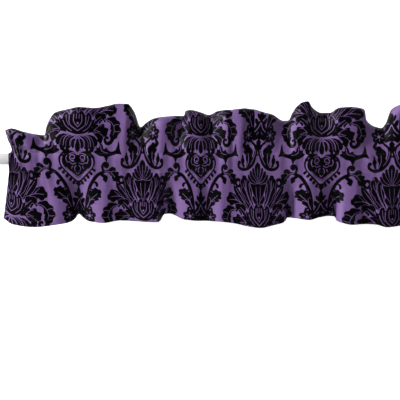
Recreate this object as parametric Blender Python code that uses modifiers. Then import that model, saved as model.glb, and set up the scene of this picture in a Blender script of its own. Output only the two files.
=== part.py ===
"""A ruffled rod-pocket window valance, gathered on a plain round curtain pole.

Metres, +Z up. X runs along the pole, the front faces -Y, and the origin is on the pole's axis at its middle.
"""

import math

import bmesh
import bpy
import numpy as np

# Pole
POLE_DIAMETER = 0.038
POLE_LENGTH = 1.58
POLE_SIDES = 48
POLE_END_CHAMFER = 0.0015

# Cut cloth: its width, and its height from the header's top edge to the hem
CLOTH_WIDTH = 1.63
HEADER_HEIGHT = 0.163
SKIRT_HEIGHT = 0.172
CLOTH_THICKNESS = 0.0015

# Pocket: one line of stitching stands on the pole's front shoulder, and the other hangs below it
POCKET_EASE = 0.0011
UPPER_STITCH_HEIGHT = 0.0170
UPPER_STITCH_FORWARD = 0.0145
LOWER_STITCH_DROP = 0.0415
LOWER_STITCH_FORWARD = 0.0135
FRONT_POCKET_ANGLES = (106, 95, 84, 73, 62, 51)
BACK_POCKET_ANGLES = (134, 105, 76, 47, 18, -11)
FOLDS_IN_POCKET = 0.3
FOLDS_AT_STITCHING = 0.6

# Header: where it is low it rolls back over this radius, to this angle, and hangs behind
HEADER_LEAN = 0.008
ROLL_RADIUS = 0.030
ROLL_ANGLE = math.radians(165)
HEADER_LEVELS = (0.10, 0.25, 0.42, 0.58, 0.72, 0.86, 1.0)
SKIRT_LEVELS = (1.0, 0.76, 0.52, 0.30, 0.12)

# Small gathers at the stitching: (depth, length along the cloth, phase)
GATHERS = ((0.0026, 0.053, 0.4), (0.0018, 0.087, 2.1))

# The cut ends draw in where the header leaves the upper stitching
END_DRAW = 0.012
END_DRAW_WIDTH = 0.035

STATIONS = 121

# Where the cloth sits on the pole, in mm: place along the cut width, place along the pole
POLE_PLACES = (
    (0, -700),
    (30, -688),
    (270, -487),
    (510, -266),
    (750, -75),
    (990, 117),
    (1230, 331),
    (1470, 553),
    (1630, 700),
)

# Header, a row for each ridge, valley and corner, in mm:
# place along the cut width, place along the pole, height above the axis, forward
HEADER_FOLDS = (
    (0, -719, 94, 6),
    (40, -695, 101, 15),
    (85, -655, 90, 17),
    (130, -619, 82, 8),
    (160, -590, 77, -12),
    (188, -574, 118, -4),
    (212, -552, 150, 8),
    (245, -517, 162, 16),
    (285, -468, 171, 23),
    (325, -421, 168, 19),
    (370, -381, 174, 13),
    (412, -341, 181, 12),
    (445, -308, 177, 15),
    (475, -289, 142, -4),
    (505, -272, 105, -17),
    (530, -252, 120, -6),
    (560, -225, 134, 8),
    (595, -193, 139, 16),
    (630, -157, 142, 5),
    (662, -128, 142, -12),
    (686, -122, 158, 6),
    (712, -105, 161, 19),
    (750, -74, 154, 17),
    (794, -43, 145, -8),
    (825, -18, 157, 8),
    (868, 20, 162, 28),
    (905, 54, 164, 26),
    (945, 97, 164, 10),
    (985, 131, 155, 15),
    (1030, 165, 146, 8),
    (1078, 203, 126, -14),
    (1100, 219, 127, -11),
    (1118, 229, 150, 4),
    (1140, 250, 174, 16),
    (1162, 272, 188, 20),
    (1186, 294, 158, 7),
    (1222, 327, 150, -6),
    (1252, 355, 152, 4),
    (1280, 379, 168, 17),
    (1318, 419, 171, 23),
    (1362, 466, 162, 12),
    (1386, 474, 132, -6),
    (1412, 498, 110, -14),
    (1440, 527, 102, -9),
    (1460, 541, 120, 4),
    (1482, 555, 165, 19),
    (1508, 580, 178, 24),
    (1560, 634, 160, 8),
    (1597, 672, 132, 5),
    (1630, 706, 118, 12),
)

# Skirt, a row for each ridge, valley and fold edge, in mm:
# place along the cut width, place along the pole, drop below the axis, forward
SKIRT_FOLDS = (
    (0, -723, 196, 4),
    (40, -690, 215, 16),
    (110, -622, 223, 27),
    (190, -545, 215, 32),
    (240, -499, 203, 20),
    (268, -483, 180, -6),
    (292, -467, 182, -5),
    (325, -438, 201, 14),
    (375, -390, 209, 29),
    (430, -336, 202, 16),
    (475, -294, 203, 20),
    (530, -246, 206, 32),
    (575, -212, 206, 33),
    (598, -204, 195, 12),
    (618, -192, 179, -7),
    (640, -174, 180, -3),
    (690, -128, 198, 20),
    (730, -90, 202, 27),
    (785, -50, 204, 7),
    (840, -2, 206, 26),
    (885, 36, 211, 20),
    (950, 92, 222, 30),
    (992, 124, 225, 35),
    (1050, 172, 215, 31),
    (1085, 199, 205, 24),
    (1104, 209, 198, 8),
    (1122, 216, 191, -6),
    (1148, 241, 195, 12),
    (1185, 283, 199, 30),
    (1220, 319, 191, 20),
    (1252, 350, 179, -6),
    (1278, 372, 181, -10),
    (1294, 374, 199, 8),
    (1315, 392, 209, 27),
    (1345, 425, 215, 32),
    (1385, 468, 214, 15),
    (1415, 502, 215, 24),
    (1450, 537, 223, 32),
    (1510, 592, 218, 14),
    (1550, 628, 208, 8),
    (1595, 668, 206, 20),
    (1630, 708, 199, 10),
)

MM = 0.001
POLE_RADIUS = POLE_DIAMETER / 2
TUNNEL_RADIUS = POLE_RADIUS + POCKET_EASE
POCKET_RADIUS = TUNNEL_RADIUS + CLOTH_THICKNESS


def through_rows(rows, column, places):
    """A smooth curve through one column of a table, level at each ridge and valley."""
    table = np.array(rows, float) * MM
    at = table[:, 0]
    value = table[:, column]
    run = np.diff(at)
    rise = np.diff(value) / run
    same_way = rise[:-1] * rise[1:] > 0
    total = np.where(same_way, rise[:-1] + rise[1:], 1.0)
    between = np.where(same_way, 2 * rise[:-1] * rise[1:] / total, 0.0)
    slope = np.concatenate([rise[:1], between, rise[-1:]])
    row = np.clip(np.searchsorted(at, places, side="right") - 1, 0, len(run) - 1)
    share = (places - at[row]) / run[row]
    start = (1 + 2 * share) * (1 - share) ** 2 * value[row]
    end = share**2 * (3 - 2 * share) * value[row + 1]
    leaving = share * (1 - share) ** 2 * slope[row] * run[row]
    arriving = share**2 * (share - 1) * slope[row + 1] * run[row]
    return start + end + leaving + arriving


def gathers(places):
    """How far the small gathers stand forward, never less than zero."""
    depth = np.zeros_like(places)
    for size, length, phase in GATHERS:
        depth += size * (1 + np.sin(places * 2 * math.pi / length + phase)) / 2
    return depth


def pocket_depth(places):
    """How far the front of the pocket stands off the pole: its small gathers, and the main folds' swell."""
    above = through_rows(HEADER_FOLDS, 3, places) + HEADER_LEAN
    below = through_rows(SKIRT_FOLDS, 3, places)
    swell = np.clip((above + below) / 2 - LOWER_STITCH_FORWARD, 0, None)
    return gathers(places) + swell * FOLDS_IN_POCKET


def roll_start(crest):
    """The length of header that stands upright below its roll, for a crest at this height."""
    rise = crest - UPPER_STITCH_HEIGHT
    if rise <= HEADER_HEIGHT - ROLL_RADIUS * (math.pi / 2 - 1):
        return rise - ROLL_RADIUS
    low = HEADER_HEIGHT - ROLL_RADIUS * math.pi / 2
    high = HEADER_HEIGHT
    for _ in range(30):
        middle = (low + high) / 2
        top = middle + ROLL_RADIUS * math.sin((HEADER_HEIGHT - middle) / ROLL_RADIUS)
        if top < rise:
            low = middle
        else:
            high = middle
    return low


def header_profile(crest, length):
    """(back, up) at this length of header above the upper stitching."""
    upright = roll_start(crest)
    stretch = max(1.0, (crest - UPPER_STITCH_HEIGHT) / HEADER_HEIGHT)
    if length <= upright:
        return 0.0, length * stretch
    angle = min((length - upright) / ROLL_RADIUS, ROLL_ANGLE)
    past = length - upright - angle * ROLL_RADIUS
    back = ROLL_RADIUS * (1 - math.cos(angle)) + past * math.sin(angle)
    up = upright + ROLL_RADIUS * math.sin(angle) + past * math.cos(angle)
    return back, up * stretch


def skirt_points(places, level):
    """The front of the skirt at one level: 0 at the lower stitching, 1 at the hem."""
    on_pole = through_rows(POLE_PLACES, 1, places)
    at_hem = through_rows(SKIRT_FOLDS, 1, places)
    drop = through_rows(SKIRT_FOLDS, 2, places)
    forward = through_rows(SKIRT_FOLDS, 3, places)
    opened = 1 - (1 - level) ** 1.6
    start = LOWER_STITCH_FORWARD + pocket_depth(places) * FOLDS_AT_STITCHING
    x = on_pole + (at_hem - on_pole) * level
    y = -start - (forward - start) * opened
    z = -LOWER_STITCH_DROP - (drop - LOWER_STITCH_DROP) * level
    return np.stack([x, y, z], 1)


def pocket_points(places, angle, radius, side, depth):
    """One level of the pocket at an angle down from the pole's top. side is -1 in front."""
    x = through_rows(POLE_PLACES, 1, places)
    reach = radius + depth
    y = side * reach * math.sin(math.radians(angle))
    z = reach * math.cos(math.radians(angle))
    return np.stack([x, y, z], 1)


def stitch_points(places, height, forward):
    """A line of stitching, which holds the layers together."""
    x = through_rows(POLE_PLACES, 1, places)
    y = -forward - pocket_depth(places) * FOLDS_AT_STITCHING
    return np.stack([x, y, np.full_like(x, height)], 1)


def header_points(places, level):
    """The front of the header at one level: 0 at the upper stitching, 1 at the top edge."""
    on_pole = through_rows(POLE_PLACES, 1, places)
    at_top = through_rows(HEADER_FOLDS, 1, places)
    crest = through_rows(HEADER_FOLDS, 2, places)
    forward = through_rows(HEADER_FOLDS, 3, places)
    length = level * HEADER_HEIGHT
    profile = np.array([header_profile(top, length) for top in crest])
    opened = 1 - (1 - min(level / 0.7, 1)) ** 1.6
    start = UPPER_STITCH_FORWARD + pocket_depth(places) * FOLDS_AT_STITCHING
    y = -start - (forward + HEADER_LEAN - start) * opened + profile[:, 0]
    near_left = np.exp(-((places / END_DRAW_WIDTH) ** 2))
    near_right = np.exp(-(((CLOTH_WIDTH - places) / END_DRAW_WIDTH) ** 2))
    draw = END_DRAW * 10 * level * math.exp(1 - 10 * level)
    x = on_pole + (at_top - on_pole) * level**1.3 + draw * (near_left - near_right)
    return np.stack([x, y, UPPER_STITCH_HEIGHT + profile[:, 1]], 1)


def backward_normals(points):
    """Unit normals of a grid of points, facing away from the front."""
    along = np.gradient(points, axis=0)
    up = np.gradient(points, axis=1)
    normal = np.cross(up, along)
    return normal / np.linalg.norm(normal, axis=2, keepdims=True)


def cloth_skins(places):
    """Three grids of points, a row for each station: the front, the back and the pocket's inside.

    Front and back run from the hem to the header's top edge, level by level. The inside starts at the lower
    stitching, runs up the front layer to the upper stitching, and comes down the back layer.
    """
    depth = pocket_depth(places)
    plain = np.zeros_like(places)
    edge = CLOTH_THICKNESS
    low = stitch_points(places, -LOWER_STITCH_DROP, LOWER_STITCH_FORWARD)
    high = stitch_points(places, UPPER_STITCH_HEIGHT, UPPER_STITCH_FORWARD)
    step_back = np.array([0, 2 * edge, 0])

    skirt = np.stack([skirt_points(places, level) for level in SKIRT_LEVELS], 1)
    header = np.stack([header_points(places, level) for level in HEADER_LEVELS], 1)
    skirt_back = skirt + backward_normals(skirt) * edge
    header_back = header + backward_normals(header) * 2 * edge

    front_pocket = [pocket_points(places, a, POCKET_RADIUS, -1, depth) for a in FRONT_POCKET_ANGLES]
    front_inside = [pocket_points(places, a, TUNNEL_RADIUS, -1, depth) for a in FRONT_POCKET_ANGLES]
    back_pocket = [pocket_points(places, a, POCKET_RADIUS, 1, plain) for a in BACK_POCKET_ANGLES]
    back_inside = [pocket_points(places, a, TUNNEL_RADIUS, 1, plain) for a in BACK_POCKET_ANGLES]
    inside_low = low + np.array([0, edge, edge])
    inside_high = high + np.array([0, edge, -edge])

    front = np.concatenate([skirt, np.stack([low, *front_pocket, high], 1), header], 1)
    back = np.concatenate(
        [skirt_back, np.stack([low + step_back, *back_pocket, high + step_back], 1), header_back], 1
    )
    inside = np.stack([inside_low, *front_inside, inside_high, *reversed(back_inside)], 1)
    return front, back, inside


def loft(mesh, rings):
    """Skins closed rings of vertices, each to the next. Returns the vertices, ring by ring."""
    made = [[mesh.verts.new(point) for point in ring] for ring in rings]
    count = len(made[0])
    for near, far in zip(made, made[1:]):
        for i in range(count):
            after = (i + 1) % count
            mesh.faces.new((near[i], near[after], far[after], far[i]))
    return made


def close_end(mesh, outer, inner, levels):
    """Closes a cut end of the cloth between its outer ring and the pocket's ring."""
    front = outer[:levels]
    back = outer[levels:][::-1]
    low = len(SKIRT_LEVELS)
    high = low + len(FRONT_POCKET_ANGLES) + 1
    inner_high = high - low
    for i in range(low - 1):
        mesh.faces.new((front[i], front[i + 1], back[i + 1], back[i]))
    mesh.faces.new((front[low - 1], front[low], inner[0], back[low], back[low - 1]))
    for i in range(low, high):
        step = i - low
        mesh.faces.new((front[i], front[i + 1], inner[step + 1], inner[step]))
        mesh.faces.new((back[i], back[i + 1], inner[-step - 1], inner[-step]))
    mesh.faces.new((front[high], front[high + 1], back[high + 1], back[high], inner[inner_high]))
    for i in range(high + 1, levels - 1):
        mesh.faces.new((front[i], front[i + 1], back[i + 1], back[i]))


def plain_material(name, colour, roughness):
    """A one-colour Principled material."""
    material = bpy.data.materials.new(name)
    material.use_nodes = True
    shader = material.node_tree.nodes["Principled BSDF"]
    shader.inputs["Base Color"].default_value = (*colour, 1)
    shader.inputs["Roughness"].default_value = roughness
    shader.inputs["Metallic"].default_value = 0
    return material


def make_cloth(parts):
    """The valance: one gathered cloth with its header, pocket and skirt."""
    places = np.linspace(0, CLOTH_WIDTH, STATIONS)
    front, back, inside = cloth_skins(places)
    levels = front.shape[1]
    mesh = bmesh.new()
    outer = loft(mesh, np.concatenate([front, back[:, ::-1]], 1))
    inner = loft(mesh, inside)
    close_end(mesh, outer[0], inner[0], levels)
    close_end(mesh, outer[-1], inner[-1], levels)
    bmesh.ops.triangulate(mesh, faces=mesh.faces)
    bmesh.ops.recalc_face_normals(mesh, faces=mesh.faces)
    data = bpy.data.meshes.new("valance_cloth")
    mesh.to_mesh(data)
    mesh.free()
    data.shade_smooth()
    data.set_sharp_from_angle(angle=math.radians(50))
    data.materials.append(plain_material("purple damask cloth", (0.107, 0.058, 0.162), 0.7))
    parts.objects.link(bpy.data.objects.new("valance_cloth", data))


def make_pole(parts):
    """The plain round pole, along X, with its ends eased."""
    bpy.ops.mesh.primitive_cylinder_add(
        vertices=POLE_SIDES, radius=POLE_RADIUS, depth=POLE_LENGTH, rotation=(0, math.pi / 2, 0)
    )
    pole = bpy.context.object
    pole.name = "pole"
    bevel = pole.modifiers.new("eased ends", "BEVEL")
    bevel.width = POLE_END_CHAMFER
    bevel.segments = 1
    bevel.limit_method = "ANGLE"
    bevel.angle_limit = math.radians(60)
    pole.data.shade_smooth()
    pole.data.set_sharp_from_angle(angle=math.radians(30))
    pole.data.materials.append(plain_material("white satin paint", (0.80, 0.80, 0.80), 0.35))
    for holder in pole.users_collection:
        holder.objects.unlink(pole)
    parts.objects.link(pole)


for old in list(bpy.data.objects):
    bpy.data.objects.remove(old)
collection = bpy.data.collections.new("window_valance_on_pole")
bpy.context.scene.collection.children.link(collection)
make_pole(collection)
make_cloth(collection)
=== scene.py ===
import math

import bpy
import numpy as np
from mathutils.geometry import delaunay_2d_cdt
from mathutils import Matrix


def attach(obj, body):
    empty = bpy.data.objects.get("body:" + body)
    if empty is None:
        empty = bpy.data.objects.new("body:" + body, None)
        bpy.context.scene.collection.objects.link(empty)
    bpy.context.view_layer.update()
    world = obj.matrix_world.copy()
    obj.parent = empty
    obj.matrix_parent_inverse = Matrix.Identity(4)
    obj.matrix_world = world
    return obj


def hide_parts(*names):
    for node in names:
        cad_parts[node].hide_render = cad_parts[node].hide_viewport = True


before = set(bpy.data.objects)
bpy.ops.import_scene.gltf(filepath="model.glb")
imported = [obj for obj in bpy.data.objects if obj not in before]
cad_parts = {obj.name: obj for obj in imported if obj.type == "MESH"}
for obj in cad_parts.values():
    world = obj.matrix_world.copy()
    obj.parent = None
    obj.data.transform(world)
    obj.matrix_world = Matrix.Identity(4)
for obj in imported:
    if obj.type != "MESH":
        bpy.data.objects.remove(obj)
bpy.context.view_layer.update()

# The hang of the cloth. One width of plain-woven cloth, cut 1.63 m wide and 0.70 m high, is hemmed, folded
# over at the header and sewn through twice, and the pole fills the pocket between the rows of stitching.
# A place on the cloth is (across, up): metres along the cut width, and up the right side from the hem.
MM = 0.001
CUT_WIDTH = 1.63
HEM_TURN = 0.022
SKIRT = 0.172
POCKET_FRONT = 0.062
HEADER = 0.163
POCKET_BACK = 0.103
TAIL = 0.012
UPPER_SEAM = SKIRT + POCKET_FRONT
HEADER_EDGE = UPPER_SEAM + HEADER
FACING_SEAM = HEADER_EDGE + HEADER
BACK_SEAM = FACING_SEAM + POCKET_BACK
CLOTH_END = BACK_SEAM + TAIL
CLOTH_THICKNESS = 0.0007
HEADER_THICKNESS = 0.0030
HEM_THICKNESS = 0.0018

# The hem's row of stitches, and how far up the cloth is near the hem's fold and then near the header's
HEM_STITCHES = 0.019
MID_SKIRT = 0.1
MID_HEADER = 0.3

# Where the cloth sits on the pole, in mm: place across the cloth, place along the pole
POLE_PLACES = (
    (0, -700), (30, -688), (270, -487), (510, -266), (750, -75), (990, 117), (1230, 331), (1470, 553),
    (1630, 700),
)

# The header's folds, in mm: place across the cloth, place along the pole, height above its axis, forward
HEADER_FOLDS = (
    (0, -719, 94, 6), (40, -695, 101, 15), (85, -655, 90, 17), (130, -619, 82, 8), (160, -590, 78, -12),
    (174, -583, 108, -9), (188, -574, 128, -4), (212, -552, 153, 8), (245, -517, 162, 16),
    (285, -468, 171, 23), (325, -421, 168, 19), (370, -381, 174, 13), (412, -341, 181, 12),
    (445, -308, 180, 15), (460, -299, 170, 7), (475, -289, 149, -4), (505, -272, 105, -17),
    (530, -252, 120, -6), (560, -225, 134, 8), (595, -193, 139, 16), (630, -157, 142, 5),
    (662, -128, 142, -12), (686, -122, 158, 6), (712, -105, 161, 19), (750, -74, 154, 17),
    (794, -43, 145, -8), (825, -18, 157, 8), (868, 20, 162, 28), (905, 54, 164, 26), (945, 97, 164, 10),
    (985, 131, 155, 15), (1030, 165, 146, 8), (1078, 203, 126, -14), (1100, 219, 127, -11),
    (1118, 229, 150, 4), (1140, 250, 181, 16), (1155, 265, 187, 20), (1168, 277, 188, 18),
    (1181, 289, 176, 10), (1194, 300, 165, 5), (1222, 327, 152, -6), (1252, 355, 152, 4),
    (1280, 379, 168, 17), (1318, 419, 171, 23), (1362, 466, 162, 12), (1386, 474, 132, -6),
    (1412, 498, 110, -14), (1440, 527, 102, -9), (1460, 541, 120, 4), (1482, 555, 165, 19),
    (1508, 580, 178, 24), (1560, 634, 160, 8), (1597, 672, 132, 5), (1630, 706, 118, 12),
)

# The skirt's folds, in mm: place across the cloth, place along the pole, drop below its axis, forward
SKIRT_FOLDS = (
    (0, -723, 196, 4), (40, -690, 215, 16), (110, -622, 223, 27), (190, -545, 215, 32),
    (240, -499, 206, 20), (262, -487, 198, 0), (279, -475, 182, -8), (296, -464, 192, -4),
    (325, -438, 205, 14), (375, -390, 209, 29), (430, -336, 202, 16), (475, -294, 203, 20),
    (530, -246, 206, 32), (575, -212, 206, 33), (598, -204, 202, 12), (618, -192, 183, -7),
    (640, -174, 181, -3), (690, -128, 198, 20), (730, -90, 202, 27), (785, -50, 204, 7), (840, -2, 206, 26),
    (885, 36, 211, 20), (950, 92, 222, 30), (992, 124, 225, 35), (1050, 172, 215, 31), (1085, 199, 208, 24),
    (1104, 209, 201, 8), (1122, 216, 194, -6), (1148, 241, 195, 12), (1185, 283, 199, 30),
    (1220, 319, 191, 20), (1252, 350, 189, -6), (1278, 371, 191, -10), (1294, 375, 203, 8),
    (1315, 392, 209, 27), (1345, 425, 215, 32), (1385, 468, 214, 15), (1415, 502, 215, 24),
    (1450, 537, 223, 32), (1510, 592, 218, 14), (1550, 628, 208, 8), (1595, 668, 206, 20),
    (1630, 708, 199, 10),
)

# Creases pressed or dragged in, in mm: from (across, up) to (across, up), half width, height forward
CREASES = (
    (922, 394, 915, 236, 12, 6.5), (876, 392, 882, 240, 11, -4.5), (800, 380, 815, 260, 9, 1.8),
    (1098, 130, 1106, 290, 15, -4.0), (1182, 110, 1190, 280, 17, 6.0), (1350, 206, 1424, 128, 9, -3.0),
    (1375, 236, 1432, 176, 13, 4.0), (20, 268, 150, 240, 9, -2.0), (120, 235, 168, 238, 6, -1.2),
    (585, 232, 612, 60, 8, -2.0), (300, 180, 322, 40, 6, -1.5), (455, 170, 440, 60, 7, -1.5),
    (700, 165, 716, 40, 7, 1.5), (880, 170, 905, 70, 7, -1.6), (1010, 168, 1030, 60, 8, 1.6),
    (1195, 165, 1178, 50, 6, -1.4), (1340, 168, 1352, 70, 6, 1.6), (1470, 170, 1490, 70, 8, -1.6),
    (60, 165, 75, 40, 8, -1.4), (155, 165, 150, 60, 7, -1.4), (166, 125, 172, 5, 15, -4.0),
    (80, 268, 98, 224, 12, -3.5),
)

UPPER_SEAM_HEIGHT = 0.0170
UPPER_SEAM_FORWARD = 0.0190
LOWER_SEAM_DROP = 0.0415
LOWER_SEAM_FORWARD = 0.0165
POCKET_RADIUS = 0.0216
ROLL_RADIUS = 0.030
ROLL_ANGLE = math.radians(165)
HEADER_LEAN = 0.008
END_DRAW_WIDTH = 0.035
END_DRAW = 0.12
END_DRAW_FADE = 10
END_TURN_BACK = 0.016
BEHIND_CREST = 0.030
FOLDS_IN_POCKET = 0.3
FOLDS_AT_STITCHING = 0.6
# How soon a fold opens to its full depth as it leaves the stitching, and how soon it spreads sideways
OPENING = 1.6
HEADER_OPEN_AT = 0.7
SPREADING = 1.3
PAST_EDGE = 1.02
# Where the pocket's layers lie on the pole, in degrees from its top
FRONT_POCKET_ANGLES = (104, 90, 76)
BACK_POCKET_ANGLES = (-11, 18, 47, 76, 105, 134)
# Waves of the gathers round the pole, in metres: height, length along the cloth, phase
GATHERS = ((0.0013, 0.053, 0.4), (0.0009, 0.087, 2.1))
# The places across the cloth where its folds are worked out
PAST_CUT_EDGE = 0.002
STATIONS = 3269
stations = np.linspace(-PAST_CUT_EDGE, CUT_WIDTH + PAST_CUT_EDGE, STATIONS)


def smooth_step(t, start, end, leaving, arriving, width):
    """A smooth curve over one step of that width, at t of the way, from its ends and its slopes there."""
    curve = (1 + 2 * t) * (1 - t) ** 2 * start + t**2 * (3 - 2 * t) * end
    return curve + t * (1 - t) ** 2 * leaving * width + t**2 * (t - 1) * arriving * width


def along_folds(rows, column):
    """A column of a fold table as a smooth curve over the stations, level at each ridge and valley."""
    table = np.array(rows, float) * MM
    at = table[:, 0]
    value = table[:, column]
    run = np.diff(at)
    rise = np.diff(value) / run
    same_way = rise[:-1] * rise[1:] > 0
    total = np.where(same_way, rise[:-1] + rise[1:], 1.0)
    between = np.where(same_way, 2 * rise[:-1] * rise[1:] / total, 0.0)
    slope = np.concatenate([rise[:1], between, rise[-1:]])
    row = np.clip(np.searchsorted(at, stations, side="right") - 1, 0, len(run) - 1)
    share = (stations - at[row]) / run[row]
    return smooth_step(share, value[row], value[row + 1], slope[row], slope[row + 1], run[row])


hang = {
    "on_pole": along_folds(POLE_PLACES, 1),
    "at_top": along_folds(HEADER_FOLDS, 1),
    "crest": along_folds(HEADER_FOLDS, 2),
    "top_forward": along_folds(HEADER_FOLDS, 3),
    "at_hem": along_folds(SKIRT_FOLDS, 1),
    "drop": along_folds(SKIRT_FOLDS, 2),
    "hem_forward": along_folds(SKIRT_FOLDS, 3),
}
swell = (hang["top_forward"] + HEADER_LEAN + hang["hem_forward"]) / 2 - LOWER_SEAM_FORWARD
pocket_depth = 0
for height, length, phase in GATHERS:
    pocket_depth = pocket_depth + height * (1 + np.sin(stations * 2 * math.pi / length + phase))
hang["pocket_depth"] = pocket_depth + np.clip(swell, 0, None) * FOLDS_IN_POCKET
# Where the cloth is too long for its crest, it stands up so far and rolls backwards over the rest
rise_to_crest = hang["crest"] - UPPER_SEAM_HEIGHT
low = np.full_like(stations, HEADER - ROLL_RADIUS * math.pi / 2)
high = np.full_like(stations, HEADER)
for _ in range(30):
    middle = (low + high) / 2
    short = middle + ROLL_RADIUS * np.sin((HEADER - middle) / ROLL_RADIUS) < rise_to_crest
    low = np.where(short, middle, low)
    high = np.where(short, high, middle)
rolls_fully = rise_to_crest <= HEADER - ROLL_RADIUS * (math.pi / 2 - 1)
hang["upright"] = np.where(rolls_fully, rise_to_crest - ROLL_RADIUS, low)
hang["stretch"] = np.maximum(1.0, rise_to_crest / HEADER)


def hung(name, across):
    """A column of the fold tables at places across the cloth."""
    return np.interp(across, stations, hang[name])


def skirt_place(across, up):
    """The skirt's right side, hung from the lower stitching in its main folds."""
    level = 1 - up / SKIRT
    opened = 1 - np.clip(1 - level, 0, None) ** OPENING
    start = LOWER_SEAM_FORWARD + FOLDS_AT_STITCHING * hung("pocket_depth", across)
    x = hung("on_pole", across) + (hung("at_hem", across) - hung("on_pole", across)) * level
    y = -start - (hung("hem_forward", across) - start) * opened
    z = -LOWER_SEAM_DROP - (hung("drop", across) - LOWER_SEAM_DROP) * level
    return np.stack([x, y, z], 1)


def header_place(across, up):
    """The header's right side, stood up from the upper stitching and rolled back over its crest."""
    level = np.clip((up - UPPER_SEAM) / HEADER, 0, PAST_EDGE)
    length = level * HEADER
    upright = hung("upright", across)
    angle = np.clip((length - upright) / ROLL_RADIUS, 0, ROLL_ANGLE)
    past = np.clip(length - upright - angle * ROLL_RADIUS, 0, None)
    back = ROLL_RADIUS * (1 - np.cos(angle)) + past * np.sin(angle)
    rise = np.minimum(length, upright) + ROLL_RADIUS * np.sin(angle) + past * np.cos(angle)
    opened = 1 - (1 - np.minimum(level / HEADER_OPEN_AT, 1)) ** OPENING
    start = UPPER_SEAM_FORWARD + FOLDS_AT_STITCHING * hung("pocket_depth", across)
    y = -start - (hung("top_forward", across) + HEADER_LEAN - start) * opened + back
    from_right = CUT_WIDTH - across
    drawn = np.exp(-((across / END_DRAW_WIDTH) ** 2)) - np.exp(-((from_right / END_DRAW_WIDTH) ** 2))
    draw = END_DRAW * level * np.exp(1 - END_DRAW_FADE * level)
    on_pole = hung("on_pole", across)
    crest_at = np.minimum(upright + ROLL_RADIUS * math.pi / 2, HEADER)
    out = np.clip(length / crest_at, 0, PAST_EDGE) ** SPREADING
    behind = np.clip((length - crest_at) / BEHIND_CREST, 0, 1)
    x = on_pole + (hung("at_top", across) - on_pole) * out + (draw + END_TURN_BACK * behind) * drawn
    return np.stack([x, y, UPPER_SEAM_HEIGHT + rise * hung("stretch", across)], 1)


def round_the_pole(across, share, steps):
    """Follows a row of steps round the pole: (forward, height, part of the pocket's depth in each)."""
    steps = np.array(steps, float)
    run = np.hypot(np.diff(steps[:, 0]), np.diff(steps[:, 1]))
    at = np.concatenate([[0], np.cumsum(run)]) / run.sum()
    slope = np.gradient(steps, at, axis=0)
    row = np.clip(np.searchsorted(at, share, side="right") - 1, 0, len(run) - 1)
    width = (at[row + 1] - at[row])[:, None]
    t = ((share - at[row]) / width[:, 0])[:, None]
    place = smooth_step(t, steps[row], steps[row + 1], slope[row], slope[row + 1], width)
    depth = hung("pocket_depth", across)
    x = hung("on_pole", across)
    return np.stack([x, -place[:, 0] - depth * place[:, 2], place[:, 1] + depth * place[:, 3]], 1)


front_steps = [(LOWER_SEAM_FORWARD, -LOWER_SEAM_DROP, FOLDS_AT_STITCHING, 0)]
for angle in FRONT_POCKET_ANGLES:
    out, rise = math.sin(math.radians(angle)), math.cos(math.radians(angle))
    front_steps.append((POCKET_RADIUS * out, POCKET_RADIUS * rise, out, rise))
front_steps.append((UPPER_SEAM_FORWARD, UPPER_SEAM_HEIGHT, FOLDS_AT_STITCHING, 0))
back_steps = [(UPPER_SEAM_FORWARD - HEADER_THICKNESS, UPPER_SEAM_HEIGHT, FOLDS_AT_STITCHING, 0)]
for angle in BACK_POCKET_ANGLES:
    out, rise = math.sin(math.radians(angle)), math.cos(math.radians(angle))
    back_steps.append((-POCKET_RADIUS * out, POCKET_RADIUS * rise, 0, 0))
back_steps.append((LOWER_SEAM_FORWARD - HEADER_THICKNESS, -LOWER_SEAM_DROP, FOLDS_AT_STITCHING, 0))


def facing_forward(surface, across, up):
    """Unit normals of a surface of (across, up), towards the front of the valance."""
    step = 0.0012
    along = surface(across + step, up) - surface(across - step, up)
    rise = surface(across, up + step) - surface(across, up - step)
    normal = np.cross(along, rise)
    return normal / np.maximum(np.linalg.norm(normal, axis=1, keepdims=True), 1e-12)


def smooth_front(across, up):
    """The whole right side, from the hem to the header's edge, in its main folds alone."""
    place = skirt_place(across, np.minimum(up, SKIRT))
    share = np.clip((up - SKIRT) / POCKET_FRONT, 0, 1)
    place = np.where((up > SKIRT)[:, None], round_the_pole(across, share, front_steps), place)
    return np.where((up > UPPER_SEAM)[:, None], header_place(across, up), place)


# The small folds, in metres along the cloth and forward. They fan out from both rows of stitching.
PLEAT = 0.0295
FINE_PLEAT = 0.0172
HEM_PLEAT = 0.0213
PLEAT_HEIGHT = 0.0011
FINE_HEIGHT = 0.0004
POCKET_PLEAT_HEIGHT = 0.0006
POCKET_FINE_HEIGHT = 0.0003
HEM_PLEAT_HEIGHT = 0.0002
HEADER_FADE = 0.040
SKIRT_FADE = 0.050
STITCH_HOLD = 0.006
HEM_FADE = 0.012
# The pleats wander off their even spacing: by so many radians, in a wave of this length and phase
WANDERS = ((1.9, 0.187, 0.8), (0.9, 0.071, 0.0))
FINE_WANDER = 1.3
FINE_PHASE = 1.1
CREASE_TAPER = 0.6
DEEPEST_IN_POCKET = 0.0010
DEEPER_OUTSIDE = 0.25


def wave(across, length, phase):
    """A wave along the cloth, from -1 to 1."""
    return np.sin(across * 2 * math.pi / length + phase)


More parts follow.
